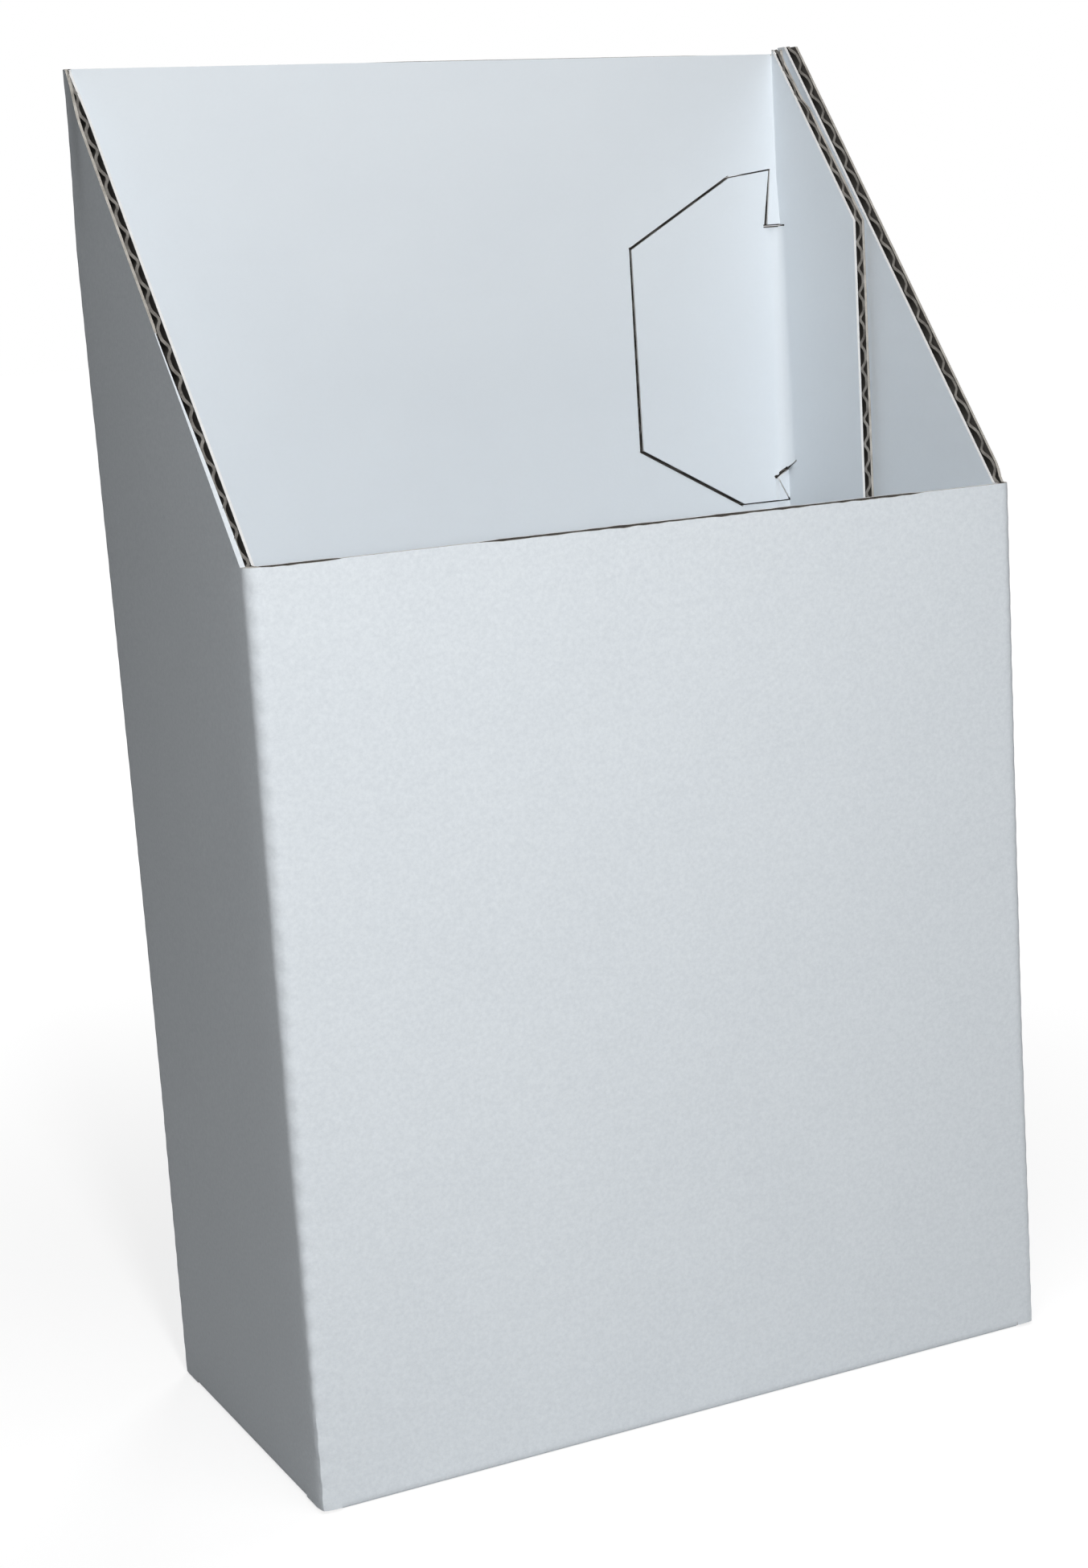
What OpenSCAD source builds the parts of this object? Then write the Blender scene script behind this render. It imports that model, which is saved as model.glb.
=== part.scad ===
// Brochure box with a low front, folded from one die-cut sheet of white corrugated board.
// Round the box the sheet runs glue flap, back, left, front, right, and its flutes lie level.
// The origin is the middle of the base, on the surface that the box stands on. -Y is the front.

/* [Box] */
// Outside width, left to right
box_w = 240; // [180:1:320]
// Outside depth, front to back
box_d = 117; // [95:1:180]
// Height of the front panel
front_h = 264; // [150:1:300]
// Height of the back panel
back_h = 398; // [350:1:480]

/* [Board] */
// Thickness of the corrugated board
board_t = 4; // [3:0.1:5]
// Thickness of each liner, the flat sheets on the two faces
liner_t = 0.5; // [0.3:0.05:0.6]
// Thickness of the wavy sheet between the liners
medium_t = 0.5; // [0.4:0.05:0.6]
// Distance from one flute to the next
flute_pitch = 7.8; // [6.5:0.1:9]
// Depth to which the flutes stand open behind a cut edge
flute_open = 6; // [3:0.5:9]
// Depth of the groove along an edge that is cut between two flutes
groove_depth = 2; // [1:0.1:3]
// Outside radius of every fold
fold_r = 3; // [1:0.1:3.4]

/* [Glue flap] */
// Reach of the flap along the right panel, from the back of the box
flap_reach = 50; // [30:1:75]
// Height by which the flap's sloping edge stays under the right panel's
flap_setback = 1; // [1:0.1:6]
// Room between the flap and the floor
flap_clear = 3; // [1:0.5:20]
// Thickness of the glue between the flap and the right panel
glue_t = 0.4; // [0.2:0.1:1]
// Width of the dry border round the glue
glue_margin = 8; // [3:0.5:12]

/* [Lock tab] */
// Reach of the tab from its hinge in the back right corner
tab_reach = 54; // [45:1:90]
// Height of the tab at its shoulders
tab_h = 105; // [90:1:125]
// Height of the tab's free edge
tab_tip_h = 64; // [40:1:80]
// Length of the level edge at each shoulder
tab_shoulder = 18; // [12:1:30]
// Distance from the top of the back panel to the tab
tab_drop = 40; // [20:1:80]
// Height of the nibs that end the hinge
nib_h = 16; // [8:1:22]
// Width of the nibs
nib_w = 5; // [3:0.5:9]
// Distance by which the upper nib's edge leans out
nib_lean = 2.5; // [1:0.5:4]
// Height of the lower nib's point over the tab's lower edge
nib_point = 8; // [5:0.5:12]
// Height at which the lower nib's cut meets the hinge
nib_rise = 10.5; // [8:0.5:14]
// Width of the die cut round the tab
cut_w = 0.9; // [0.6:0.1:1.4]

/* [Bottom] */
// Distance from the corners to the side flaps
corner_relief = 12; // [10:0.5:20]
// Room between the front and back flaps and the side panels
flap_room = 2; // [1:0.5:6]
// Reach of the side flaps under the floor
side_flap_reach = 62; // [40:1:70]
// Reach of the side flaps at the corners that are glued to the floor
glued_reach = 80; // [60:1:85]
// Length of the side flaps' sloping edge, along the depth of the box
side_flap_slope = 31; // [20:1:45]
// Distance by which each hook passes the middle of the floor
hook_reach = 13; // [6:1:20]
// Gap along the hooked seam
seam_gap = 1; // [0.6:0.1:2]
// Height of the bare cut edges beside the flaps
edge_lift = 0.8; // [0.4:0.1:1.5]

/* [Hidden] */
$fn = 48;

x_out = box_w / 2;
y_out = box_d / 2;
fold_x = x_out - board_t;
fold_y = y_out - board_t;
over = 1;

// Sloping edge of the side panels
slope = (back_h - front_h) / (box_d - 2 * board_t);
function edge_z(y) = front_h + slope * (y + y_out - board_t);
function edge_y(z) = (z - front_h) / slope - y_out + board_t;

// Open channel of one flute in section, from the liner that it lies on to the crest of the medium
half_pitch = flute_pitch / 2;
wave = (board_t - 2 * liner_t - medium_t) / 2;
channel_half = half_pitch - medium_t;
function crest(z) = board_t / 2 + wave * cos(180 * z / half_pitch) - medium_t / 2;
channel = [
    [liner_t, -channel_half],
    for (f = [-0.5, 0, 0.5]) [crest(f * channel_half), f * channel_half],
    [liner_t, channel_half]
];

// Glue flap
flap_x = x_out - board_t - glue_t;
flap_y = y_out - flap_reach;
flap_foot = 2 * board_t + flap_clear;
flap_bend = edge_z(flap_y) - flap_setback;

// Lock tab: its corner line and its middle height
tab_x = flap_x - board_t;
tab_z = back_h - tab_drop - tab_h / 2;

// Bottom flaps
floor_x = x_out - board_t - flap_room;
side_flap_y = y_out - corner_relief;

// The board in section at a fold, which is creased: sharp inside, at the origin, and round outside
module fold_section() {
    round_r = min(fold_r, board_t - liner_t);
    flat = board_t - round_r;
    square([flat, board_t]);
    square([board_t, flat]);
    translate([flat, flat]) circle(r = round_r);
}

// The sheet in plan: straight stretches and the upright folds between them
module wall_plan() {
    translate([-fold_x, fold_y]) square([fold_x + tab_x, board_t]);
    translate([-x_out, -fold_y]) square([board_t, 2 * fold_y]);
    translate([-fold_x, -y_out]) square([2 * fold_x, board_t]);
    translate([fold_x, -fold_y]) square([board_t, fold_y + y_out]);
    translate([tab_x, fold_y]) fold_section();
    translate([-fold_x, fold_y]) rotate(90) fold_section();
    translate([-fold_x, -fold_y]) rotate(180) fold_section();
    translate([fold_x, -fold_y]) rotate(270) fold_section();
}

// Solid of a profile drawn in Y and Z, from one X to another
module along_x(x_from, x_to) {
    translate([x_from, 0, 0]) rotate([90, 0, 90]) linear_extrude(x_to - x_from) children();
}

// Side view of the box: low front, sloping sides, tall back
module side_view() {
    polygon([
        [-y_out, edge_lift], [-y_out, front_h], [board_t - y_out, front_h],
        [y_out - board_t, back_h], [y_out, back_h], [y_out, edge_lift]
    ]);
}

// Channel number n counted up from the base: even ones lie on the outer liner, odd ones on the inner
module channel_run(n, y_from, y_to) {
    section = [for (p = channel) [n % 2 == 0 ? p[0] : board_t - p[0], p[1]]];
    translate([0, y_to, n * half_pitch]) rotate([90, 0, 0]) linear_extrude(y_to - y_from) polygon(section);
}

// Channels that open on the sloping edge of the left panel
module left_channels() {
    first = ceil((front_h + channel_half) / half_pitch);
    last = floor((edge_z(fold_y) - flute_open * slope) / half_pitch);
    for (n = [first:last]) {
        y_low = edge_y(n * half_pitch - channel_half) - over;
        y_high = edge_y(n * half_pitch + channel_half) + flute_open;
        channel_run(n, y_low, min(y_high, fold_y - over));
    }
}

// Channels of the right panel: on its sloping edge, and on its upright edge at the back of the box
module right_channels() {
    first = ceil((edge_lift + channel_half) / half_pitch);
    first_sloping = ceil((front_h + channel_half) / half_pitch);
    last = floor((back_h - channel_half) / half_pitch);
    for (n = [first:last]) {
        y_low = edge_y(n * half_pitch - channel_half) - over;
        y_high = edge_y(n * half_pitch + channel_half) + flute_open;
        y_back = y_out - flute_open;
        sloping = n >= first_sloping;
        through = sloping && y_high > y_back - over;
        if (sloping) channel_run(n, y_low, through ? y_out + over : y_high);
        if (!through) channel_run(n, y_back, y_out + over);
    }
}

// Channels of the glue flap: on its upright edge, and on its sloping edge above the bend
module flap_channels() {
    first = ceil((flap_foot + channel_half) / half_pitch);
    last = floor((edge_z(fold_y) - flap_setback - flute_open * slope) / half_pitch);
    for (n = [first:last]) {
        z_low = n * half_pitch - channel_half + flap_setback;
        z_high = n * half_pitch + channel_half + flap_setback;
        y_low = max(flap_y, edge_y(z_low)) - over;
        y_high = max(flap_y, edge_y(z_high)) + flute_open;
        channel_run(n, y_low, min(y_high, fold_y - over));
    }
}

// The four panels, with their cut edges
module walls() {
    difference() {
        intersection() {
            linear_extrude(back_h) wall_plan();
            along_x(-x_out, x_out) side_view();
        }
        translate([-x_out, 0, 0]) left_channels();
        translate([x_out, 0, 0]) mirror([1, 0, 0]) right_channels();
        translate([-fold_x, liner_t - y_out, front_h - groove_depth])
            cube([2 * fold_x, board_t - 2 * liner_t, groove_depth + over]);
        translate([-fold_x, fold_y + liner_t, back_h - groove_depth])
            cube([fold_x + tab_x, board_t - 2 * liner_t, groove_depth + over]);
    }
}

// The flap that runs on from the back panel and is glued to the inside of the right panel
module glue_flap() {
    difference() {
        along_x(tab_x, flap_x) polygon([
            [flap_y, flap_foot], [flap_y, flap_bend],
            [fold_y, edge_z(fold_y) - flap_setback], [fold_y, flap_foot]
        ]);
        translate([flap_x, 0, 0]) mirror([1, 0, 0]) flap_channels();
    }
}

// The glue that joins the flap to the right panel, inside a dry border
module glue() {
    low_y = flap_y + glue_margin;
    high_y = fold_y - glue_margin;
    drop = flap_setback + glue_margin * (1 + slope);
    along_x(flap_x, flap_x + glue_t) polygon([
        [low_y, flap_foot + glue_margin], [low_y, edge_z(low_y) - drop],
        [high_y, edge_z(high_y) - drop], [high_y, flap_foot + glue_margin]
    ]);
}

// A straight die cut through the back panel, between two points given from the hinge corner
module die_cut(from, to) {
    run = to - from;
    translate([tab_x - from[0], y_out - board_t - over, tab_z + from[1]])
        rotate([0, atan2(run[1], run[0]) - 180, 0])
            translate([-cut_w / 2, 0, -cut_w / 2])
                cube([norm(run) + cut_w, board_t + 2 * over, cut_w]);
}

// The cut round the lock tab, which leaves it hinged between the two nibs
module tab_cut() {
    shoulder = tab_h / 2;
    tip = tab_tip_h / 2;
    path = [
        [0, shoulder - nib_h], [nib_w, shoulder - nib_h], [nib_w - nib_lean, shoulder],
        [tab_shoulder, shoulder], [tab_reach, tip], [tab_reach, -tip], [tab_shoulder, -shoulder],
        [0, -shoulder], [nib_w, nib_point - shoulder], [0, nib_rise - shoulder]
    ];
    for (i = [1:len(path) - 1]) die_cut(path[i - 1], path[i]);
}

// Front bottom flap in side view: fold, rise over the side flaps, floor
module floor_profile() {
    translate([-fold_y, board_t]) rotate(180) fold_section();
    polygon([
        [-fold_y, 0], [-fold_y, board_t], [-side_flap_y, 2 * board_t], [hook_reach, 2 * board_t],
        [hook_reach, board_t], [-side_flap_y, board_t]
    ]);
}

// Front bottom flap in plan, with its half of the hooked seam
module floor_outline() {
    gap = seam_gap / 2;
    polygon([
        [-floor_x, -y_out], [-floor_x, -fold_y], [-floor_x + hook_reach, hook_reach - gap],
        [-gap - hook_reach / 2, hook_reach - gap], [-gap + hook_reach / 2, -hook_reach - gap],
        [floor_x, -hook_reach - gap], [floor_x, -y_out]
    ]);
}

module floor_flap() {
    intersection() {
        along_x(-floor_x, floor_x) floor_profile();
        linear_extrude(2 * board_t + over) floor_outline();
    }
}

// Left bottom flap, with the long corner that is glued under the back flap
module side_flap() {
    intersection() {
        rotate([90, 0, 0]) linear_extrude(box_d, center = true) {
            translate([-fold_x, board_t]) rotate(180) fold_section();
            translate([-fold_x, 0]) square([fold_x, board_t]);
        }
        linear_extrude(board_t + over) polygon([
            [-x_out, -side_flap_y], [-fold_x, -side_flap_y],
            [side_flap_reach - x_out, side_flap_slope - side_flap_y],
            [glued_reach - x_out, side_flap_y], [-x_out, side_flap_y]
        ]);
    }
}

// The walls are cut away where the bottom folds take over
module fold_clearance() {
    for (turn = [0, 180]) rotate(turn) {
        translate([-floor_x, -y_out - over, -over])
            cube([2 * floor_x, board_t + 2 * over, board_t + over]);
        translate([-x_out - over, -side_flap_y, -over])
            cube([board_t + 2 * over, 2 * side_flap_y, board_t + over]);
    }
}

module folded_box() {
    color([0.84, 0.86, 0.88]) {
        difference() {
            walls();
            fold_clearance();
            tab_cut();
        }
        glue_flap();
        glue();
        for (turn = [0, 180]) rotate(turn) {
            floor_flap();
            side_flap();
        }
    }
}

folded_box();
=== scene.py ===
import math

import bmesh
import bpy
from mathutils import Matrix, Vector, noise


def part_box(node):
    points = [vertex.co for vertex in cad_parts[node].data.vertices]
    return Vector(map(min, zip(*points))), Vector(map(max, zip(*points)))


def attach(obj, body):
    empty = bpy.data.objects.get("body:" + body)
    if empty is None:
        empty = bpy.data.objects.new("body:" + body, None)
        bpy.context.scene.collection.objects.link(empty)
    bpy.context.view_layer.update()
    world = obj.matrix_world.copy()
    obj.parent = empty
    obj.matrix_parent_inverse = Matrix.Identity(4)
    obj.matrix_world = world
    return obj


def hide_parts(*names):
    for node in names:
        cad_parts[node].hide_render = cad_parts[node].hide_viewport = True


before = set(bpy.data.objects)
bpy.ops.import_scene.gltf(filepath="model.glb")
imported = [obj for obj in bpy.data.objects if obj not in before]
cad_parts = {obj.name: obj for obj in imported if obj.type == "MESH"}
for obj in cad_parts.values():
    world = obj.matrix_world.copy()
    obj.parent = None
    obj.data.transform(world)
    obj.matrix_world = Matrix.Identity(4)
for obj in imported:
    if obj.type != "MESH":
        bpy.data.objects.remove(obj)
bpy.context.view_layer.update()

# The folded box, in metres
HALF_WIDTH, HALF_DEPTH, BACK_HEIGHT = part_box("folded_box")[1]
FRONT_HEIGHT = 0.264
BOARD = 0.004
LINER = 0.0008
MEDIUM = 0.0009
FLUTE_PITCH = 0.0078

# How much longer the flutes lie on the outer liner than on the inner one; 1 is an even wave
FLUTE_LIE = 2.2

# Gap under the free lower edges of the walls
EDGE_LIFT = 0.0008

# Folds: the bend that the sheet is drawn round, and the outside radius that the crease is pressed to
INNER_BEND = 0.0003
BEND = BOARD + INNER_BEND
CREASE = 0.003
CREASE_FOOT = 0.0012
CREASE_RISE = 0.12
FLOOR_CREASE = 0.0018
CREASE_STEPS = 8

# Dents along the folds: their depth, and the shares of an even dent, a beat with the flutes and a wander
RIPPLE = 0.0002
LEFT_RIPPLE = 0.0008
DENT_EVEN = 0.5
DENT_BEAT = 0.35
DENT_WANDER = 0.4
WANDER_SCALE = 70

# Glue flap
GLUE = 0.0004
FLAP_REACH = 0.049
FLAP_SETBACK = 0.0004
FLAP_FOOT = 0.011
FLAP_CRUSH = 0.28
CRUSH_START = 0.017
CRUSH_FULL = 0.013
CRUSH_END = 0.003
CRUSH_FOOT = 0.33
CRUSH_TOP = 0.36
FLAP_X = HALF_WIDTH - BOARD - GLUE
FLAP_Y = HALF_DEPTH - FLAP_REACH

# Lock tab
TAB_REACH = 0.054
TAB_SHOULDER = 0.018
TAB_HALF = 0.0525
TAB_TIP_HALF = 0.032
TAB_TILT = 0.0018
TAB_UNDER_TOP = 0.040
TAB_CORNER = FLAP_X - BOARD
TAB_MIDDLE = BACK_HEIGHT - TAB_UNDER_TOP - TAB_HALF
NIB_HEIGHT = 0.016
NIB_WIDTH = 0.005
NIB_LEAN = 0.0025
NIB_POINT = 0.008
NIB_RISE = 0.0105
DIE_CUT = 0.001
TIGHT_CUT = 0.0005
HAIR_CUT = 0.00015
TAB_PROUD = 0.001
TAB_SET = 0.3
TAB_TWIST = 0.7
NIB_PROUD = 0.0014
HINGE_TOP = 0.0035
HINGE_FOOT = 0.005
HINGE_RISE = 0.0025

# Bottom flaps
FLOOR_ROOM = 0.002
FLOOR_X = HALF_WIDTH - BOARD - FLOOR_ROOM
CORNER_RELIEF = 0.012
SIDE_FLAP_Y = HALF_DEPTH - CORNER_RELIEF
SIDE_REACH = 0.062
GLUED_REACH = 0.080
SIDE_SLOPE = 0.031
HOOK = 0.013
SEAM = 0.001

# Distances below which a point counts as on a cut, on another point, on an edge or on a face of the board
TOUCH = 1e-7
SAME = 1e-6
CLOSE = 1e-5
NEAR = 1e-4

UP, DOWN = Vector((0, 0, 1)), Vector((0, 0, -1))
LEFT, RIGHT = Vector((-1, 0, 0)), Vector((1, 0, 0))
FORE, AFT = Vector((0, -1, 0)), Vector((0, 1, 0))

# Sloping edge of the side panels, from the front's top to the back's
SLOPE_FOOT = Vector((0, BOARD - HALF_DEPTH, FRONT_HEIGHT))
SLOPE_RUN = 2 * (HALF_DEPTH - BOARD)
SLOPE_RISE = BACK_HEIGHT - FRONT_HEIGHT
SLOPE_OUT = Vector((0, -SLOPE_RISE, SLOPE_RUN)).normalized()


# Drawing a layer of the board


def go(way, steps=1):
    """A straight stretch of the sheet."""

    def draw(bm, edges):
        run = bm.verts.layers.float["run"]
        for _ in range(steps):
            reached = edges[0].verts[0][run] + Vector(way).length / steps
            made = bmesh.ops.extrude_edge_only(bm, edges=edges)["geom"]
            verts = {g for g in made if isinstance(g, bmesh.types.BMVert)}
            bmesh.ops.translate(bm, verts=list(verts), vec=Vector(way) / steps)
            for vert in verts:
                vert[run] = reached
            edges = [g for g in made if isinstance(g, bmesh.types.BMEdge) and set(g.verts) <= verts]
        return edges

    return draw


def turn(centre, axis, angle=math.pi / 2, steps=CREASE_STEPS):
    """A fold of the sheet round a centre line."""

    def draw(bm, edges):
        run = bm.verts.layers.float["run"]
        for _ in range(steps):
            ends = list({v for e in edges for v in e.verts})
            radius = (ends[0].co - centre).cross(axis).length
            reached = ends[0][run] + radius * abs(angle) / steps
            swept = {"cent": centre, "axis": axis, "angle": angle / steps, "steps": 1}
            made = bmesh.ops.spin(bm, geom=ends + edges, **swept)
            edges = [g for g in made["geom_last"] if isinstance(g, bmesh.types.BMEdge)]
            for vert in {v for e in edges for v in e.verts}:
                vert[run] = reached
        return edges

    return draw


def drawn_layer(start, inward, depth, stretches):
    """One layer of the board at a depth under its outer face, drawn from an edge along named stretches."""
    bm = bmesh.new()
    bm.verts.layers.float.new("run")
    stretch = bm.faces.layers.int.new("stretch")
    edges = [bm.edges.new([bm.verts.new(Vector(end) + inward * depth) for end in start])]
    for number, (_, draw) in enumerate(stretches, 1):
        before = set(bm.faces)
        edges = draw(bm, edges)
        for face in set(bm.faces) - before:
            face[stretch] = number
    return bm


def facing(bm, stretches, name, way):
    """Turns all faces of a layer so that the named stretch looks the given way."""
    stretch = bm.faces.layers.int["stretch"]
    number = [n for n, _ in stretches].index(name) + 1
    bm.normal_update()
    sample = next(f for f in bm.faces if f[stretch] == number)
    if sample.normal.dot(way) < 0:
        bmesh.ops.reverse_faces(bm, faces=bm.faces)
    bm.normal_update()


def near_faces(bm, stretches, names, planes):
    """Faces of the named stretches that reach in front of every plane."""
    stretch = bm.faces.layers.int["stretch"]
    numbers = {i for i, (name, _) in enumerate(stretches, 1) if name in names}

    def reaches(face):
        return all(any((v.co - at).dot(way) > TOUCH for v in face.verts) for at, way in planes)

    return [f for f in bm.faces if f[stretch] in numbers and reaches(f)]


def score(bm, stretches, names, planes, at, way):
    """Splits the faces that reach in front of the planes along one more plane."""
    faces = near_faces(bm, stretches, names, planes)
    geom = faces + list({e for f in faces for e in f.edges}) + list({v for f in faces for v in f.verts})
    bmesh.ops.bisect_plane(bm, geom=geom, dist=TOUCH, plane_co=at, plane_no=way)


def carve(bm, stretches, names, planes):
    """Cuts away what lies in front of all the planes on the named stretches."""
    for at, way in planes:
        score(bm, stretches, names, planes, at, way)

    def in_front(face):
        return all((face.calc_center_median() - at).dot(way) > 0 for at, way in planes)

    gone = [f for f in near_faces(bm, stretches, names, planes) if in_front(f)]
    bmesh.ops.delete(bm, geom=gone, context="FACES")


def flute_wave(bm, across):
    """Bends a flat layer in the middle of the board into flutes."""
    height = BOARD - 2 * LINER - MEDIUM
    bm.normal_update()
    moves = []
    for vert in bm.verts:
        share = (0.5 + 0.5 * math.cos(2 * math.pi * vert[across] / FLUTE_PITCH)) ** FLUTE_LIE
        moves.append((vert, vert.normal * height * (0.5 - share)))
    for vert, move in moves:
        vert.co += move


# Walls: glue flap, back, left, front and right in one run of the sheet

# Lean of the side panels at the top of the back, and drop of the back's top edge from left to right
LEFT_FLARE = 0.0036
RIGHT_FLARE = 0.0005
FLARE_CURVE = 1.5
BACK_DROP = 0.0022

# Front's top edge: how deep and by which shares it is pinched, where it is pinched most, counted from the
# front's middle, how often the pinch wavers in a metre, and the wear of its outer liner
PINCH_DEPTH = 0.005
PINCH_LIMIT = 0.58
PINCH_EVEN = 0.2
PINCH_LEFT = 0.5
PINCH_RIGHT = 0.4
PINCH_WAVER = 0.2
LEFT_STARTS = (-0.097, -0.091)
LEFT_ENDS = (-0.066, -0.040)
RIGHT_STARTS = (0.084, 0.092)
LONG_WAVER = 60
SHORT_WAVER = 250
EDGE_WEAR = 0.0005
WEAR_WAVER = 0.8
WEAR_SCALE = 300
WEAR_END = 0.004

# Right panel's cut edge, which is swollen on its outer side
EDGE_SWELL = 0.001
SWELL_ZONE = 0.008
SWELL_DEPTH = 0.02

# Rim of the outer liner that is rolled in over the left panel's sloping edge
RIM_ROLL = 0.0014
ROLL_LEAST = 0.2
ROLL_START = -0.052
ROLL_END = -0.005
RIM_PROUD = 0.0001

# Crushed tall left corner: the shares by which its outer face goes in and its inner face goes out
CORNER_IN = 0.4
CORNER_OUT = 0.18
CORNER_ZONE = 0.014
CORNER_FOOT = 0.34
CORNER_TOP = 0.392

# Room that the fluting leaves under the crushed ends of the folds
CAP_ROOM = 0.0015

# Centre lines of the folds, and the length beside the flap's fold that is drawn finely for the tab's hinge
HINGE_ZONE = 0.007
FOLD_BACK_RIGHT = Vector((FLAP_X - BEND, HALF_DEPTH - BEND, 0))
FOLD_BACK_LEFT = Vector((BEND - HALF_WIDTH, HALF_DEPTH - BEND, 0))
FOLD_FRONT_LEFT = Vector((BEND - HALF_WIDTH, BEND - HALF_DEPTH, 0))
FOLD_FRONT_RIGHT = Vector((HALF_WIDTH - BEND, BEND - HALF_DEPTH, 0))


def walls(front_steps):
    """The run of the walls, with the front drawn in a number of steps."""
    return [
        ("flap", go((0, FOLD_BACK_RIGHT.y - FLAP_Y - HINGE_ZONE, 0), 18)),
        ("flap", go((0, HINGE_ZONE, 0), 7)),
        ("flap fold", turn(FOLD_BACK_RIGHT, UP)),
        ("back", go((-HINGE_ZONE, 0, 0), 7)),
        ("back", go(FOLD_BACK_LEFT - FOLD_BACK_RIGHT + RIGHT * HINGE_ZONE, 10)),
        ("back fold", turn(FOLD_BACK_LEFT, UP)),
        ("left", go((0, -CORNER_ZONE, 0), 4)),
        ("left", go(FOLD_FRONT_LEFT - FOLD_BACK_LEFT + AFT * CORNER_ZONE, 8)),
        ("left fold", turn(FOLD_FRONT_LEFT, UP)),
        ("front", go(FOLD_FRONT_RIGHT - FOLD_FRONT_LEFT, front_steps)),
        ("front fold", turn(FOLD_FRONT_RIGHT, UP)),
        ("right", go((0, SWELL_ZONE, 0), 4)),
        ("right", go((0, HALF_DEPTH - FOLD_FRONT_RIGHT.y - SWELL_ZONE, 0), 8)),
    ]


# The liners need a fine front for the pinched edge; the fluting has fine rows instead
WALLS = walls(150)
FLUTE_WALLS = walls(36)
ALL_WALLS = [name for name, _ in WALLS]
FOLD_RIPPLES = (
    (FOLD_BACK_RIGHT, RIPPLE),
    (FOLD_BACK_LEFT, RIPPLE),
    (FOLD_FRONT_LEFT, LEFT_RIPPLE),
    (FOLD_FRONT_RIGHT, RIPPLE),
)

# Corners of the die cut round the lock tab, from the hinge corner leftwards and from the tab's middle up,
# with the width of the cut that follows each
TAB_PATH = [
    (-BOARD, TAB_HALF - NIB_HEIGHT, DIE_CUT),
    (NIB_WIDTH, TAB_HALF - NIB_HEIGHT, TIGHT_CUT),
    (NIB_WIDTH - NIB_LEAN, TAB_HALF + TAB_TILT, TIGHT_CUT),
    (TAB_SHOULDER, TAB_HALF, DIE_CUT),
    (TAB_REACH, TAB_TIP_HALF, DIE_CUT),
    (TAB_REACH, -TAB_TIP_HALF, DIE_CUT),
    (TAB_SHOULDER, -TAB_HALF, TIGHT_CUT),
    (0, -TAB_HALF, TIGHT_CUT),
    (NIB_WIDTH, NIB_POINT - TAB_HALF, DIE_CUT),
    (0, NIB_RISE - TAB_HALF, DIE_CUT),
    (-BOARD, NIB_RISE - TAB_HALF, 0),
]
HINGE_Y = HALF_DEPTH - BOARD
HINGE_HIGH = TAB_MIDDLE + TAB_HALF - NIB_HEIGHT
HINGE_LOW = TAB_MIDDLE - TAB_HALF + NIB_RISE
HINGE_CUTS = [
    (Vector((0, HALF_DEPTH, HINGE_HIGH)), Vector((0, HINGE_Y - HINGE_TOP, HINGE_HIGH))),
    (Vector((0, HALF_DEPTH, HINGE_LOW)), Vector((0, HINGE_Y, HINGE_LOW))),
    (Vector((0, HINGE_Y, HINGE_LOW)), Vector((0, HINGE_Y - HINGE_FOOT, HINGE_LOW + HINGE_RISE))),
]


def on_back(reach, height):
    """Point of the back panel, given from the tab's hinge corner and middle."""
    return Vector((TAB_CORNER - reach, 0, TAB_MIDDLE + height))


def slit(start, end, width, through=AFT):
    """Planes round a straight cut through a panel."""
    along = (end - start).normalized()
    side = along.cross(through)
    half = width / 2
    return [
        (start - along * half, along),
        (end + along * half, -along),
        (start - side * half, side),
        (start + side * half, -side),
    ]


def cut_tab(bm, widest):
    """The die cut round the lock tab, with its two ends that run on across the fold."""
    for (reach, height, width), (next_reach, next_height, _) in zip(TAB_PATH, TAB_PATH[1:]):
        cut = slit(on_back(reach, height), on_back(next_reach, next_height), min(width, widest))
        carve(bm, WALLS, ["back", "flap fold"], cut)
    for start, end in HINGE_CUTS:
        carve(bm, WALLS, ["flap", "flap fold"], slit(start, end, min(TIGHT_CUT, widest), RIGHT))


def crease_reach(angle, crease):
    """Distance from a fold's centre to the pressed crease, at an angle from one of the panels."""
    flat = BEND - crease
    c, s = math.cos(angle), math.sin(angle)
    spread = flat * (c + s)
    reach = spread + math.sqrt(max(0, spread**2 - 2 * flat**2 + crease**2))
    if min(reach * c, reach * s) < flat:
        return BEND / max(c, s)
    return reach


def smooth(value, start, end):
    """0 before start, 1 after end, and an even passage between."""
    t = min(1, max(0, (value - start) / (end - start)))
    return t * t * (3 - 2 * t)


def press(vert, centre, first, second, crease, ripple=0):
    """Squares a point of a bend into the crease, with a dent where each flute is crushed."""
    offset = vert.co - centre
    x, y = offset.dot(first), offset.dot(second)
    radius = math.hypot(x, y)
    if x < 0 or y < 0 or not SAME < radius < BEND + CLOSE:
        return
    angle = math.atan2(y, x)
    outer = 1 - (BEND - radius) / BOARD
    beat = DENT_BEAT * math.cos(2 * math.pi * vert.co.z / FLUTE_PITCH)
    dent = DENT_EVEN + beat + DENT_WANDER * noise.noise(vert.co * WANDER_SCALE)
    sunk = ripple * dent * math.sin(2 * angle) ** 2
    pressed = radius + outer * (crease_reach(angle, crease) - BEND - sunk)
    vert.co += (first * x + second * y) * (pressed / radius - 1)


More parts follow.
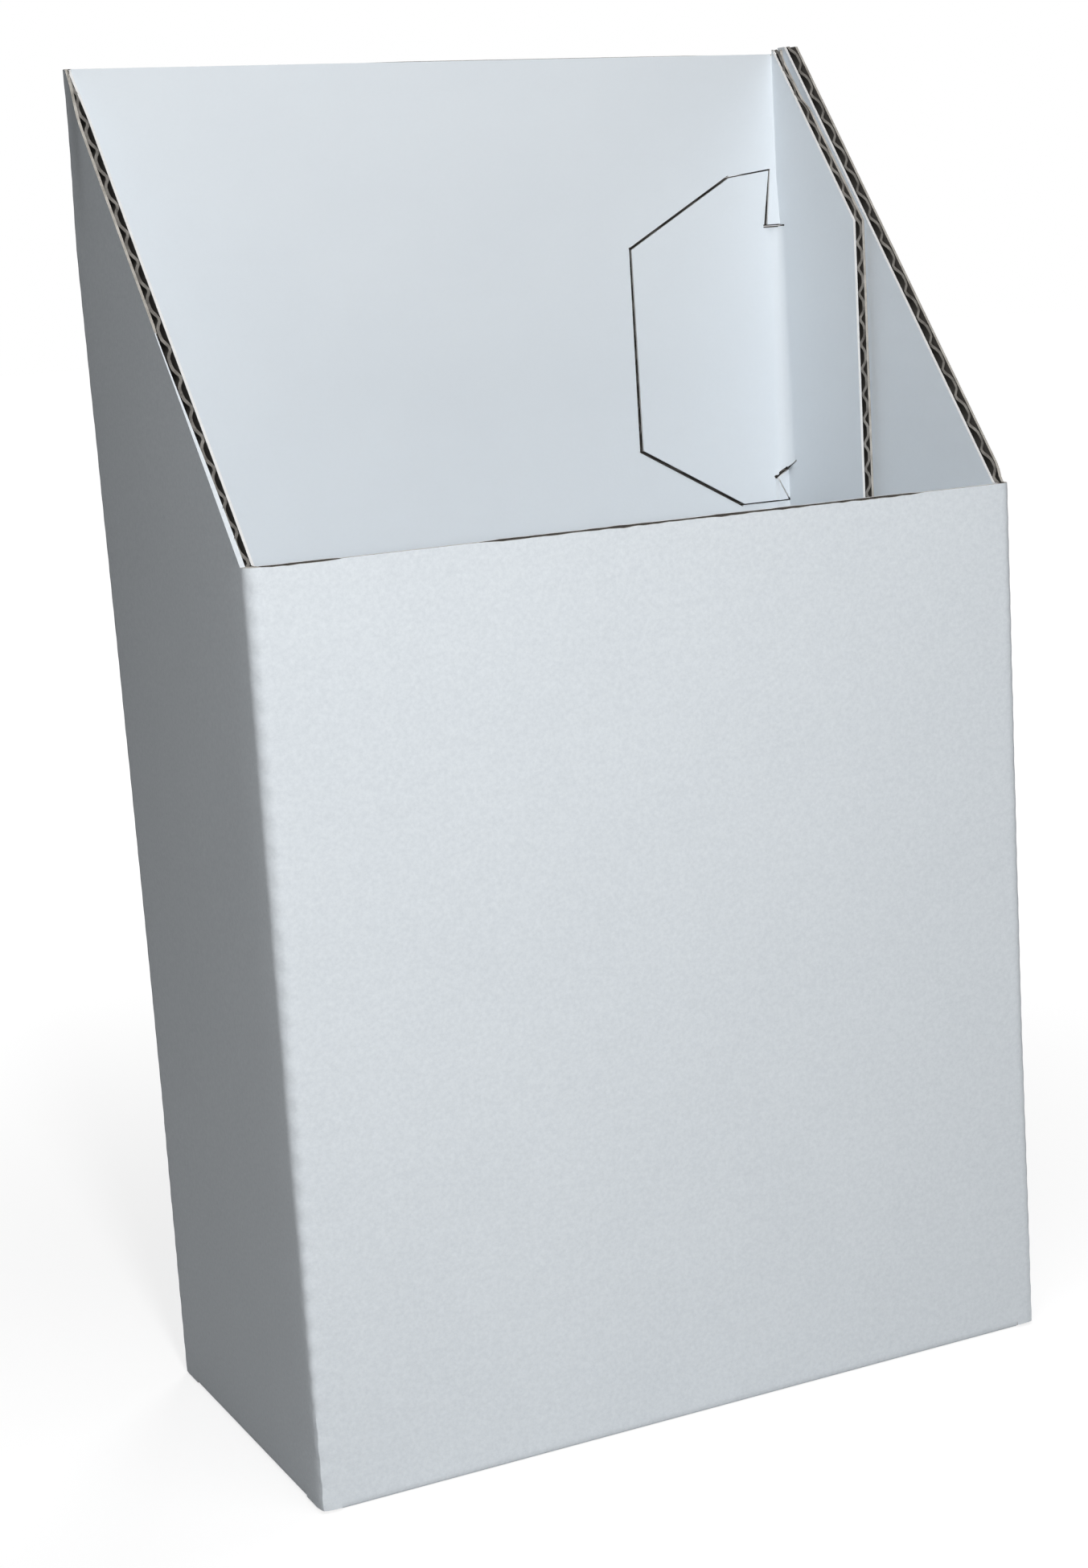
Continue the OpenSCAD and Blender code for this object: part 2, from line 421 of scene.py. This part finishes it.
def soft_hinge(vert):
    """Rounds the fold where the lock tab hangs on it; tells whether the point belongs there."""
    x, y, z = vert.co
    across, along = FOLD_BACK_RIGHT.x - x, FOLD_BACK_RIGHT.y - y
    length = HINGE_FOOT + (HINGE_TOP - HINGE_FOOT) * (z - HINGE_LOW) / (HINGE_HIGH - HINGE_LOW)
    if along > 0:
        place, depth = -INNER_BEND - along, -across - INNER_BEND
        low = HINGE_LOW + HINGE_RISE * along / HINGE_FOOT
    elif across > 0:
        place, depth = INNER_BEND + across, -along - INNER_BEND
        low = HINGE_LOW - (NIB_RISE - NIB_POINT) * across / NIB_WIDTH
    else:
        place = (math.atan2(-along, -across) / math.radians(45) - 1) * INNER_BEND
        depth, low = math.hypot(across, along) - INNER_BEND, HINGE_LOW
    if abs(place) > length or not low < z < HINGE_HIGH or not -NEAR < depth < BOARD + NEAR:
        return False
    angle = math.radians(45) * (1 + place / length)
    reach = length + depth
    vert.co.x = TAB_CORNER - length + reach * math.cos(angle)
    vert.co.y = HINGE_Y - length + reach * math.sin(angle)
    return True


def tab_bend(reach, height):
    """How far a point of the back panel stands in front of it, round the lock tab."""
    if not 0 < reach <= TAB_REACH:
        return 0
    edge = TAB_HALF
    if height > 0:
        tilted = (TAB_SHOULDER - reach) / (TAB_SHOULDER - NIB_WIDTH + NIB_LEAN)
        edge += TAB_TILT * min(1, max(0, tilted))
    if reach > TAB_SHOULDER:
        edge -= (reach - TAB_SHOULDER) / (TAB_REACH - TAB_SHOULDER) * (TAB_HALF - TAB_TIP_HALF)
    if abs(height) > edge:
        return 0
    below = (TAB_HALF + TAB_TILT - height) / (NIB_HEIGHT + TAB_TILT)
    if below < 1 and reach < NIB_WIDTH - NIB_LEAN * (1 - below):
        return NIB_PROUD * below
    above = height + TAB_HALF
    if above < NIB_RISE and reach < NIB_WIDTH:
        return NIB_PROUD * reach / NIB_WIDTH
    return TAB_PROUD * math.sqrt(reach / TAB_REACH) * (TAB_SET - TAB_TWIST * height / TAB_HALF)


def front_pinch(x):
    """Share by which the front's top edge is pinched shut, along the front."""
    left = smooth(x, *LEFT_STARTS) - smooth(x, *LEFT_ENDS)
    right = smooth(x, *RIGHT_STARTS)
    waver = PINCH_WAVER * noise.noise(Vector((x * LONG_WAVER, 0, 0)))
    waver += PINCH_WAVER * noise.noise(Vector((x * SHORT_WAVER, 3, 0)))
    return min(PINCH_LIMIT, PINCH_EVEN + PINCH_LEFT * left + PINCH_RIGHT * right + waver)


def flare(x, y, z):
    """How far the side panels lean out, most at the top of the back, and the right cut edge swells."""
    back = math.sin(math.pi / 2 * (y + HALF_DEPTH) / (2 * HALF_DEPTH))
    top = max(0, z / BACK_HEIGHT) ** FLARE_CURVE
    if x > HALF_WIDTH - BOARD - GLUE / 2:
        outer = (x - HALF_WIDTH + BOARD) / BOARD
        under = -(Vector((0, y, z)) - SLOPE_FOOT).dot(SLOPE_OUT)
        past = smooth(y - FOLD_FRONT_RIGHT.y, 0, SWELL_ZONE / 2)
        return RIGHT_FLARE * back**2 * top + EDGE_SWELL * outer * past * (1 - smooth(under, 0, SWELL_DEPTH))
    leftward = (TAB_CORNER - x) / (TAB_CORNER + HALF_WIDTH)
    return -LEFT_FLARE * back * top * min(1, max(0, leftward))


def press_folds(vert):
    """Presses a point of the walls' folds, tightest at the foot."""
    crease = CREASE_FOOT + (CREASE - CREASE_FOOT) * smooth(vert.co.z, 0, CREASE_RISE)
    for centre, ripple in FOLD_RIPPLES:
        sideways = RIGHT * math.copysign(1, centre.x)
        endways = AFT * math.copysign(1, centre.y)
        press(vert, centre, sideways, endways, crease, ripple)


def crush_corner(vert):
    """Crushes the tall left corner between its faces."""
    x, y, z = vert.co
    depth = x + HALF_WIDTH
    if depth < BEND + NEAR:
        crush = smooth(y, HINGE_Y - CORNER_ZONE, HINGE_Y) * smooth(z, CORNER_FOOT, CORNER_TOP)
        vert.co.x += crush * (CORNER_IN * max(0, BOARD - depth) - CORNER_OUT * depth)


def pinch_front(vert):
    """Pinches the front's top edge, and wears its outer liner down where it is open."""
    x, y, z = vert.co
    depth = y + HALF_DEPTH
    near = smooth(z, FRONT_HEIGHT - PINCH_DEPTH, FRONT_HEIGHT)
    vert.co.y -= depth * near * front_pinch(x)
    uneven = 1 + WEAR_WAVER * noise.noise(Vector((x * WEAR_SCALE, 1, 0)))
    wear = EDGE_WEAR * (1 - front_pinch(x) / PINCH_LIMIT) * uneven
    vert.co.z -= wear * (1 - depth / BOARD) * near * smooth(HALF_WIDTH - BEND - abs(x), 0, WEAR_END)


def crush_flap(vert):
    """Crushes the top of the glue flap."""
    x, y, z = vert.co
    crush = smooth(y, HINGE_Y - CRUSH_START, HINGE_Y - CRUSH_FULL) - smooth(y, HINGE_Y - CRUSH_END, HINGE_Y)
    vert.co.x -= FLAP_CRUSH * (x - TAB_CORNER) * crush * smooth(z, CRUSH_FOOT, CRUSH_TOP)


def settle_walls(bm):
    """The small bends of a box that has been set up by hand."""
    for vert in bm.verts:
        if not soft_hinge(vert):
            press_folds(vert)
        crush_corner(vert)
        x, y, z = vert.co
        front_top = y < BOARD - HALF_DEPTH + NEAR and z > FRONT_HEIGHT - PINCH_DEPTH
        if y > HINGE_Y - NEAR:
            vert.co.y -= tab_bend(TAB_CORNER - x, z - TAB_MIDDLE)
        elif front_top and abs(x) < HALF_WIDTH - BEND:
            pinch_front(vert)
        elif TAB_CORNER - NEAR < x < FLAP_X + NEAR and FLAP_Y - NEAR < y:
            crush_flap(vert)
        vert.co.x += flare(x, y, z)


def roll_rim(bm):
    """Rolls the outer liner in over the lower half of the left panel's sloping edge."""

    def on_rim(vert):
        on_slope = abs((vert.co - SLOPE_FOOT).dot(SLOPE_OUT)) < CLOSE
        return on_slope and vert.co.x < BOARD - HALF_WIDTH and vert.co.y < ROLL_END

    edges = [e for e in bm.edges if e.is_boundary and all(on_rim(v) for v in e.verts)]
    rolled = {}
    for vert in dict.fromkeys(v for e in edges for v in e.verts):
        inward = RIM_ROLL * (1 - (1 - ROLL_LEAST) * smooth(vert.co.y, ROLL_START, ROLL_END))
        rolled[vert] = bm.verts.new(vert.co + RIGHT * inward + SLOPE_OUT * RIM_PROUD, vert)
    for loop in [e.link_loops[0] for e in edges]:
        first, second = loop.vert, loop.link_loop_next.vert
        bm.faces.new([second, first, rolled[first], rolled[second]], loop.face)


def fold_top(bm, name):
    """Edges along the top end of a fold."""
    stretch = bm.faces.layers.int["stretch"]
    number = ALL_WALLS.index(name) + 1
    edges = [e for e in bm.edges if e.is_boundary and e.link_faces[0][stretch] == number]
    edges = [e for e in edges if min(v.co.z for v in e.verts) > FRONT_HEIGHT - BOARD]
    edges = [e for e in edges if abs(e.verts[0].co.z - e.verts[1].co.z) < 0.5 * e.calc_length()]
    top = max(v.co.z for e in edges for v in e.verts)
    return [e for e in edges if max(v.co.z for v in e.verts) > top - BOARD / 2]


def cap_folds(outside, inside):
    """Closes the crushed top ends of the folds, from the outer liner to the inner one."""
    for name in ("flap fold", "back fold", "left fold"):
        near, far = fold_top(outside, name), fold_top(inside, name)
        for edge in far:
            ends = [outside.verts.new(v.co) for v in edge.verts]
            near.append(outside.edges.new(ends))
        copied = [v for e in near[-len(far) :] for v in e.verts]
        bmesh.ops.remove_doubles(outside, verts=copied, dist=SAME)
        near = [e for e in near if e.is_valid]
        for face in bmesh.ops.bridge_loops(outside, edges=near)["faces"]:
            face.material_index = 2
            face.normal_update()
            if face.normal.z < 0:
                face.normal_flip()


def wall_layer(depth, rows, looks_in, waved=False):
    """One layer of the walls, cut to its outline."""
    start = [(FLAP_X, FLAP_Y, EDGE_LIFT), (FLAP_X, FLAP_Y, BACK_HEIGHT)]
    bm = drawn_layer(start, LEFT, depth, FLUTE_WALLS if waved else WALLS)
    upright = [e for e in bm.edges if abs(e.verts[0].co.z - e.verts[1].co.z) > BOARD]
    bmesh.ops.subdivide_edges(bm, edges=upright, cuts=rows - 1)
    facing(bm, WALLS, "front", AFT if looks_in else FORE)
    if waved:
        run = bm.verts.layers.float["run"]
        for vert in bm.verts:
            vert[run] = vert.co.z
        flute_wave(bm, run)
    carve(bm, WALLS, ALL_WALLS, [(SLOPE_FOOT, UP), (SLOPE_FOOT, SLOPE_OUT)])
    carve(bm, WALLS, ["flap"], [(SLOPE_FOOT - UP * FLAP_SETBACK, SLOPE_OUT)])
    carve(bm, WALLS, ["flap"], [(UP * FLAP_FOOT, DOWN)])
    floor_fold = [(UP * BEND, DOWN), (RIGHT * FLOOR_X, LEFT), (LEFT * FLOOR_X, RIGHT)]
    side_fold = [(UP * BEND, DOWN), (AFT * SIDE_FLAP_Y, FORE), (FORE * SIDE_FLAP_Y, AFT)]
    carve(bm, WALLS, ["front", "back"], floor_fold)
    carve(bm, WALLS, ["left", "right"], side_fold)
    back_top = Vector((-HALF_WIDTH, 0, BACK_HEIGHT))
    top_way = Vector((BACK_DROP, 0, 2 * HALF_WIDTH)).normalized()
    carve(bm, WALLS, ["back", "back fold", "flap fold"], [(back_top, top_way)])
    if waved:
        crushed = [name for name in ALL_WALLS if "fold" in name] + ["front"]
        under = SLOPE_FOOT + DOWN * CAP_ROOM
        carve(bm, WALLS, crushed, [(under, UP), (under, SLOPE_OUT)])
        carve(bm, WALLS, crushed, [(back_top + DOWN * CAP_ROOM, top_way)])
    cut_tab(bm, DIE_CUT if depth else HAIR_CUT)
    settle_walls(bm)
    return bm


def joined(layers):
    """Several layers in one mesh."""
    whole = bmesh.new()
    for bm in layers:
        mesh = bpy.data.meshes.new("layer")
        bm.to_mesh(mesh)
        bm.free()
        whole.from_mesh(mesh)
        bpy.data.meshes.remove(mesh)
    return whole


# Bottom flaps: the front and back ones make the floor, over the two side ones

# Slope on which the floor climbs from its fold up onto the side flaps
RISE = math.radians(32)
RISE_RUN = (BOARD - (BEND + INNER_BEND) * (1 - math.cos(RISE))) / math.sin(RISE)
FLOOR_FOLD = Vector((0, BEND - HALF_DEPTH, BEND))
RISE_WAY = Vector((0, math.cos(RISE), math.sin(RISE)))
RISE_OUT = Vector((0, math.sin(RISE), -math.cos(RISE)))
LEVEL_FOLD = FLOOR_FOLD + RISE_OUT * (BEND + INNER_BEND) + RISE_WAY * RISE_RUN
FLOOR_END = HOOK - SEAM / 2
SIDE_FOLD = Vector((BEND - HALF_WIDTH, 0, BEND))

FLOOR_FLAP = [
    ("fold", turn(FLOOR_FOLD, RIGHT, math.pi / 2 + RISE, 10)),
    ("rise", go(RISE_WAY * RISE_RUN, 6)),
    ("top", turn(LEVEL_FOLD, RIGHT, -RISE, 3)),
    ("floor", go(AFT * (FLOOR_END - LEVEL_FOLD.y), 60)),
]
SIDE_FLAP = [
    ("fold", turn(SIDE_FOLD, FORE)),
    ("flap", go(RIGHT * (GLUED_REACH - BEND), 76)),
]


def right_of(start, end):
    """Plane through a line of the base, looking to its right."""
    start, end = Vector((*start, 0)), Vector((*end, 0))
    return start, (end - start).cross(UP).normalized()


def floor_flap_layer(depth, looks_in, waved, back):
    """One layer of the front bottom flap, or of the back one, which is the same flap turned round."""
    start = [(-FLOOR_X, -HALF_DEPTH, BEND), (FLOOR_X, -HALF_DEPTH, BEND)]
    bm = drawn_layer(start, AFT, depth, FLOOR_FLAP)
    facing(bm, FLOOR_FLAP, "floor", UP if looks_in else DOWN)
    if waved:
        flute_wave(bm, bm.verts.layers.float["run"])
    for vert in bm.verts:
        press(vert, FLOOR_FOLD, FORE, DOWN, FLOOR_CREASE)
    names = [name for name, _ in FLOOR_FLAP]
    hook_top = (-(SEAM + HOOK) / 2, FLOOR_END)
    hook_foot = ((HOOK - SEAM) / 2, -HOOK - SEAM / 2)
    slanted = right_of((HOOK - FLOOR_X, FLOOR_END), (-FLOOR_X, BOARD - HALF_DEPTH))
    carve(bm, FLOOR_FLAP, names, [slanted])
    carve(bm, FLOOR_FLAP, ["floor"], [right_of(hook_foot, hook_top), (FORE * (HOOK + SEAM / 2), AFT)])
    if back:
        bmesh.ops.rotate(bm, verts=bm.verts, matrix=Matrix.Rotation(math.pi, 3, "Z"))
    return bm


def side_flap_layer(depth, looks_in, waved, right):
    """One layer of the left bottom flap, or of the right one, which is the same flap turned round."""
    start = [(-HALF_WIDTH, -SIDE_FLAP_Y, BEND), (-HALF_WIDTH, SIDE_FLAP_Y, BEND)]
    bm = drawn_layer(start, RIGHT, depth, SIDE_FLAP)
    facing(bm, SIDE_FLAP, "flap", UP if looks_in else DOWN)
    if waved:
        flute_wave(bm, bm.verts.layers.float["run"])
    for vert in bm.verts:
        press(vert, SIDE_FOLD, LEFT, DOWN, FLOOR_CREASE)
    near = (BOARD - HALF_WIDTH, -SIDE_FLAP_Y)
    knee = (SIDE_REACH - HALF_WIDTH, SIDE_SLOPE - SIDE_FLAP_Y)
    far = (GLUED_REACH - HALF_WIDTH, SIDE_FLAP_Y)
    for line in ((near, knee), (knee, far)):
        carve(bm, SIDE_FLAP, ["flap"], [right_of(*line)])
    if right:
        bmesh.ops.rotate(bm, verts=bm.verts, matrix=Matrix.Rotation(math.pi, 3, "Z"))
    return bm


def bottom_layers(depth, looks_in, waved=False):
    """One layer of all four bottom flaps."""
    return [
        make(depth, looks_in, waved, turned)
        for make in (floor_flap_layer, side_flap_layer)
        for turned in (False, True)
    ]


# Materials


def node(tree, kind, **settings):
    """A new node with its settings."""
    made = tree.nodes.new(kind)
    for name, value in settings.items():
        setattr(made, name, value)
    return made


def paper_grain_group():
    """Soft mottling and fine fibres of paper, shared by all papers of the board."""
    group = bpy.data.node_groups.new("paper_grain", "ShaderNodeTree")
    for name, default in (("Mottle Scale", 30.0), ("Fibre Scale", 900.0)):
        socket = group.interface.new_socket(name, in_out="INPUT", socket_type="NodeSocketFloat")
        socket.default_value = default
    for name in ("Mottle", "Fibre"):
        group.interface.new_socket(name, in_out="OUTPUT", socket_type="NodeSocketFloat")
    inlet, outlet = node(group, "NodeGroupInput"), node(group, "NodeGroupOutput")
    place = node(group, "ShaderNodeTexCoord")
    mottle = node(group, "ShaderNodeTexNoise")
    mottle.inputs["Detail"].default_value = 3
    fibre = node(group, "ShaderNodeTexNoise")
    fibre.inputs["Detail"].default_value = 4
    fibre.inputs["Roughness"].default_value = 0.65
    for texture, scale, result in ((mottle, "Mottle Scale", "Mottle"), (fibre, "Fibre Scale", "Fibre")):
        group.links.new(place.outputs["Object"], texture.inputs["Vector"])
        group.links.new(inlet.outputs[scale], texture.inputs["Scale"])
        group.links.new(texture.outputs["Fac"], outlet.inputs[result])
    return group


paper_grain = paper_grain_group()

# What all the papers share: their sheen, the part of the grain that takes them from dark to light, and how
# far their roughness goes either way
PAPER_SHEEN = 0.3
TONE_START = 0.3
TONE_END = 0.7
GLOSS_SPREAD = 0.06


def paper(name, dark, light, roughness, mottle_scale, fibre_scale, fibre_share, fibre_depth, washboard=0):
    """A paper with its mottling, its fibres and, on a liner, the faint trace of the flutes under it."""
    material = bpy.data.materials.new(name)
    material.use_nodes = True
    tree = material.node_tree
    shader = tree.nodes["Principled BSDF"]
    shader.inputs["Specular IOR Level"].default_value = PAPER_SHEEN
    grain = node(tree, "ShaderNodeGroup", node_tree=paper_grain)
    grain.inputs["Mottle Scale"].default_value = mottle_scale
    grain.inputs["Fibre Scale"].default_value = fibre_scale
    share = node(tree, "ShaderNodeMix", data_type="FLOAT")
    share.inputs["Factor"].default_value = fibre_share
    tone = node(tree, "ShaderNodeValToRGB")
    tone.color_ramp.elements[0].position = TONE_START
    tone.color_ramp.elements[1].position = TONE_END
    tone.color_ramp.elements[0].color = (*dark, 1)
    tone.color_ramp.elements[1].color = (*light, 1)
    gloss = node(tree, "ShaderNodeMapRange")
    gloss.inputs["To Min"].default_value = roughness - GLOSS_SPREAD
    gloss.inputs["To Max"].default_value = roughness + GLOSS_SPREAD
    bump = node(tree, "ShaderNodeBump")
    bump.inputs["Distance"].default_value = fibre_depth
    tree.links.new(grain.outputs["Mottle"], share.inputs["A"])
    tree.links.new(grain.outputs["Fibre"], share.inputs["B"])
    tree.links.new(share.outputs["Result"], tone.inputs["Fac"])
    tree.links.new(tone.outputs["Color"], shader.inputs["Base Color"])
    tree.links.new(grain.outputs["Fibre"], gloss.inputs["Value"])
    tree.links.new(gloss.outputs["Result"], shader.inputs["Roughness"])
    height = grain.outputs["Fibre"]
    if washboard:
        place = node(tree, "ShaderNodeTexCoord")
        split = node(tree, "ShaderNodeSeparateXYZ")
        phase = node(tree, "ShaderNodeMath", operation="MULTIPLY")
        phase.inputs[1].default_value = 2 * math.pi / FLUTE_PITCH
        wave = node(tree, "ShaderNodeMath", operation="SINE")
        sum_up = node(tree, "ShaderNodeMath", operation="MULTIPLY_ADD")
        sum_up.inputs[1].default_value = washboard
        tree.links.new(place.outputs["Object"], split.inputs["Vector"])
        tree.links.new(split.outputs["Z"], phase.inputs[0])
        tree.links.new(phase.outputs["Value"], wave.inputs[0])
        tree.links.new(wave.outputs["Value"], sum_up.inputs[0])
        tree.links.new(height, sum_up.inputs[2])
        height = sum_up.outputs["Value"]
    tree.links.new(height, bump.inputs["Height"])
    tree.links.new(bump.outputs["Normal"], shader.inputs["Normal"])
    return material


white_outside = paper(
    "white_outside",
    dark=(0.745, 0.795, 0.84),
    light=(0.845, 0.895, 0.935),
    roughness=0.72,
    mottle_scale=30,
    fibre_scale=900,
    fibre_share=0.85,
    fibre_depth=0.00006,
    washboard=0.2,
)
white_inside = paper(
    "white_inside",
    dark=(0.782, 0.832, 0.876),
    light=(0.808, 0.858, 0.899),
    roughness=0.72,
    mottle_scale=30,
    fibre_scale=900,
    fibre_share=0.4,
    fibre_depth=0.00003,
    washboard=0.2,
)
# Back of the liners, facing the flutes and the die cuts: partly the kraft paper's own brown, partly painted
# shade, darker than the brown alone so that the voids and cuts look dark
kraft_and_shade_back = paper(
    "kraft_and_painted_shade_liner_back",
    dark=(0.055, 0.05, 0.045),
    light=(0.10, 0.092, 0.083),
    roughness=0.9,
    mottle_scale=120,
    fibre_scale=1500,
    fibre_share=0.5,
    fibre_depth=0.00008,
)
cut_edge = paper(
    "cut_paper_edge",
    dark=(0.78, 0.78, 0.77),
    light=(0.92, 0.92, 0.92),
    roughness=0.9,
    mottle_scale=260,
    fibre_scale=2400,
    fibre_share=0.5,
    fibre_depth=0.00012,
)
worn_edge = paper(
    "worn_paper_edge",
    dark=(0.30, 0.28, 0.25),
    light=(0.66, 0.63, 0.58),
    roughness=0.9,
    mottle_scale=200,
    fibre_scale=2400,
    fibre_share=0.3,
    fibre_depth=0.00012,
)
# Fluting coloured nearly black: painted shade of the deep flute voids, far darker than the kraft paper's
# own brown
fluting = paper(
    "shade_darkened_fluting",
    dark=(0.025, 0.023, 0.02),
    light=(0.05, 0.046, 0.041),
    roughness=0.9,
    mottle_scale=160,
    fibre_scale=1800,
    fibre_share=0.5,
    fibre_depth=0.00008,
)
cut_fluting = paper(
    "cut_fluting_edge",
    dark=(0.07, 0.065, 0.059),
    light=(0.33, 0.313, 0.288),
    roughness=0.9,
    mottle_scale=260,
    fibre_scale=2400,
    fibre_share=0.3,
    fibre_depth=0.0001,
)

# Edges of a sheet that bend more than this stay sharp
SHARP_ANGLE = math.radians(40)


def finished_piece(name, bm, materials, thickness, offset):
    """A sheet with its thickness: its face, its back and its cut edge take the three materials in turn."""
    mesh = bpy.data.meshes.new(name)
    bm.normal_update()
    for edge in bm.edges:
        edge.smooth = not edge.is_boundary and edge.calc_face_angle(0) < SHARP_ANGLE
    for face in bm.faces:
        face.smooth = True
    bm.to_mesh(mesh)
    bm.free()
    for material in materials:
        mesh.materials.append(material)
    piece = bpy.data.objects.new(name, mesh)
    bpy.context.scene.collection.objects.link(piece)
    wall = piece.modifiers.new("paper thickness", "SOLIDIFY")
    wall.thickness = thickness
    wall.offset = offset
    wall.material_offset = 1
    wall.material_offset_rim = 2
    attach(piece, "root")
    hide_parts("folded_box")


# Rows of faces up the walls
LINER_ROWS = 204
FLUTE_ROWS = 408

outer = [
    wall_layer(0, LINER_ROWS, looks_in=False),
    *bottom_layers(0, looks_in=False),
]
inner = [
    wall_layer(BOARD, LINER_ROWS, looks_in=True),
    *bottom_layers(BOARD, looks_in=True),
]
middle = [
    wall_layer(BOARD / 2, FLUTE_ROWS, looks_in=False, waved=True),
    *bottom_layers(BOARD / 2, looks_in=False, waved=True),
]
roll_rim(outer[0])
outside, inside = joined(outer), joined(inner)
cap_folds(outside, inside)
# The liners' backs carry painted shade on top of their kraft brown
finished_piece("outer_liner", outside, [white_outside, kraft_and_shade_back, worn_edge], LINER, -1)
finished_piece("inner_liner", inside, [white_inside, kraft_and_shade_back, cut_edge], LINER, -1)
# The fluting's nearly black colour is painted shade of the flute voids
finished_piece("fluting", joined(middle), [fluting, fluting, cut_fluting], MEDIUM, 0)


# Stage: floor, lights and camera

FLOOR_RADIUS = 8
FLOOR_GREY = 0.46
FADE_START = 0.2
FADE_END = 0.9
NEAR_WHITE = 0.75
SURROUNDING_LIGHT = 0.035
BOX_MIDDLE = Vector((0, 0, 0.2))


def seen_straight(tree):
    """1 where a thing is looked at, also mirrored or through glass, and 0 where it only sends light on."""
    path = node(tree, "ShaderNodeLightPath")
    seen = node(tree, "ShaderNodeMath", operation="ADD")
    seen_too = node(tree, "ShaderNodeMath", operation="ADD", use_clamp=True)
    tree.links.new(path.outputs["Is Camera Ray"], seen.inputs[0])
    tree.links.new(path.outputs["Is Glossy Ray"], seen.inputs[1])
    tree.links.new(seen.outputs["Value"], seen_too.inputs[0])
    tree.links.new(path.outputs["Is Transmission Ray"], seen_too.inputs[1])
    return seen_too.outputs["Value"]


def stage_floor():
    """A pale floor that keeps the box's shadow and fades to white."""
    bm = bmesh.new()
    bmesh.ops.create_circle(bm, cap_ends=True, radius=FLOOR_RADIUS, segments=64)
    mesh = bpy.data.meshes.new("floor")
    bm.to_mesh(mesh)
    bm.free()
    material = bpy.data.materials.new("pale_floor")
    material.use_nodes = True
    tree = material.node_tree
    shader = tree.nodes["Principled BSDF"]
    shader.inputs["Base Color"].default_value = (FLOOR_GREY, FLOOR_GREY, FLOOR_GREY, 1)
    shader.inputs["Roughness"].default_value = 0.9
    shader.inputs["Specular IOR Level"].default_value = 0.0
    place = node(tree, "ShaderNodeTexCoord")
    distance = node(tree, "ShaderNodeVectorMath", operation="LENGTH")
    fade = node(tree, "ShaderNodeMapRange", interpolation_type="SMOOTHSTEP")
    fade.inputs["From Min"].default_value = FADE_START
    fade.inputs["From Max"].default_value = FADE_END
    fade.inputs["To Min"].default_value = NEAR_WHITE
    fade.inputs["To Max"].default_value = 1.0
    strength = node(tree, "ShaderNodeMath", operation="MULTIPLY")
    tree.links.new(place.outputs["Object"], distance.inputs[0])
    tree.links.new(distance.outputs["Value"], fade.inputs["Value"])
    tree.links.new(fade.outputs["Result"], strength.inputs[0])
    tree.links.new(seen_straight(tree), strength.inputs[1])
    shader.inputs["Emission Color"].default_value = (1, 1, 1, 1)
    tree.links.new(strength.outputs["Value"], shader.inputs["Emission Strength"])
    mesh.materials.append(material)
    floor = bpy.data.objects.new("floor", mesh)
    bpy.context.scene.collection.objects.link(floor)


def stage_world(light):
    """White surroundings that send only a little light."""
    world = bpy.data.worlds.new("studio")
    bpy.context.scene.world = world
    world.use_nodes = True
    tree = world.node_tree
    background = tree.nodes["Background"]
    strength = node(tree, "ShaderNodeMapRange")
    strength.inputs["To Min"].default_value = light
    strength.inputs["To Max"].default_value = 1.0
    background.inputs["Color"].default_value = (1, 1, 1, 1)
    tree.links.new(seen_straight(tree), strength.inputs["Value"])
    tree.links.new(strength.outputs["Result"], background.inputs["Strength"])


def soft_light(name, at, size, power):
    """A round soft lamp that looks at the middle of the box."""
    lamp = bpy.data.lights.new(name, "AREA")
    lamp.shape = "DISK"
    lamp.size = size
    lamp.energy = power
    light = bpy.data.objects.new(name, lamp)
    light.location = at
    light.rotation_euler = (BOX_MIDDLE - Vector(at)).to_track_quat("-Z", "Y").to_euler()
    bpy.context.scene.collection.objects.link(light)


# Camera: place, heading from the depth axis, downward tilt, roll, and lens on a frame of the given width
CAMERA_AT = (-0.3581, -0.7287, 0.3451)
CAMERA_HEADING = math.radians(25.49)
CAMERA_TILT = math.radians(11.38)
CAMERA_ROLL = math.radians(-3.49)
CAMERA_LENS = 63.09
CAMERA_FRAME = 36


def stage_camera():
    """The photograph's view of the box."""
    data = bpy.data.cameras.new("camera")
    data.lens = CAMERA_LENS
    data.sensor_width = CAMERA_FRAME
    camera = bpy.data.objects.new("camera", data)
    look = (
        Matrix.Rotation(-CAMERA_HEADING, 3, "Z")
        @ Matrix.Rotation(math.pi / 2 - CAMERA_TILT, 3, "X")
        @ Matrix.Rotation(CAMERA_ROLL, 3, "Z")
    )
    camera.matrix_world = Matrix.Translation(CAMERA_AT) @ look.to_4x4()
    bpy.context.scene.collection.objects.link(camera)
    bpy.context.scene.camera = camera


stage_floor()
stage_world(SURROUNDING_LIGHT)
soft_light("key", at=(-0.26, -0.9, 0.41), size=0.13, power=5.2)
soft_light("top light", at=(-0.08, -0.22, 0.9), size=0.3, power=1.75)
soft_light("back fill", at=(0.6, 0.9, 1.1), size=0.6, power=4.5)
stage_camera()
bpy.context.scene.view_settings.view_transform = "Standard"
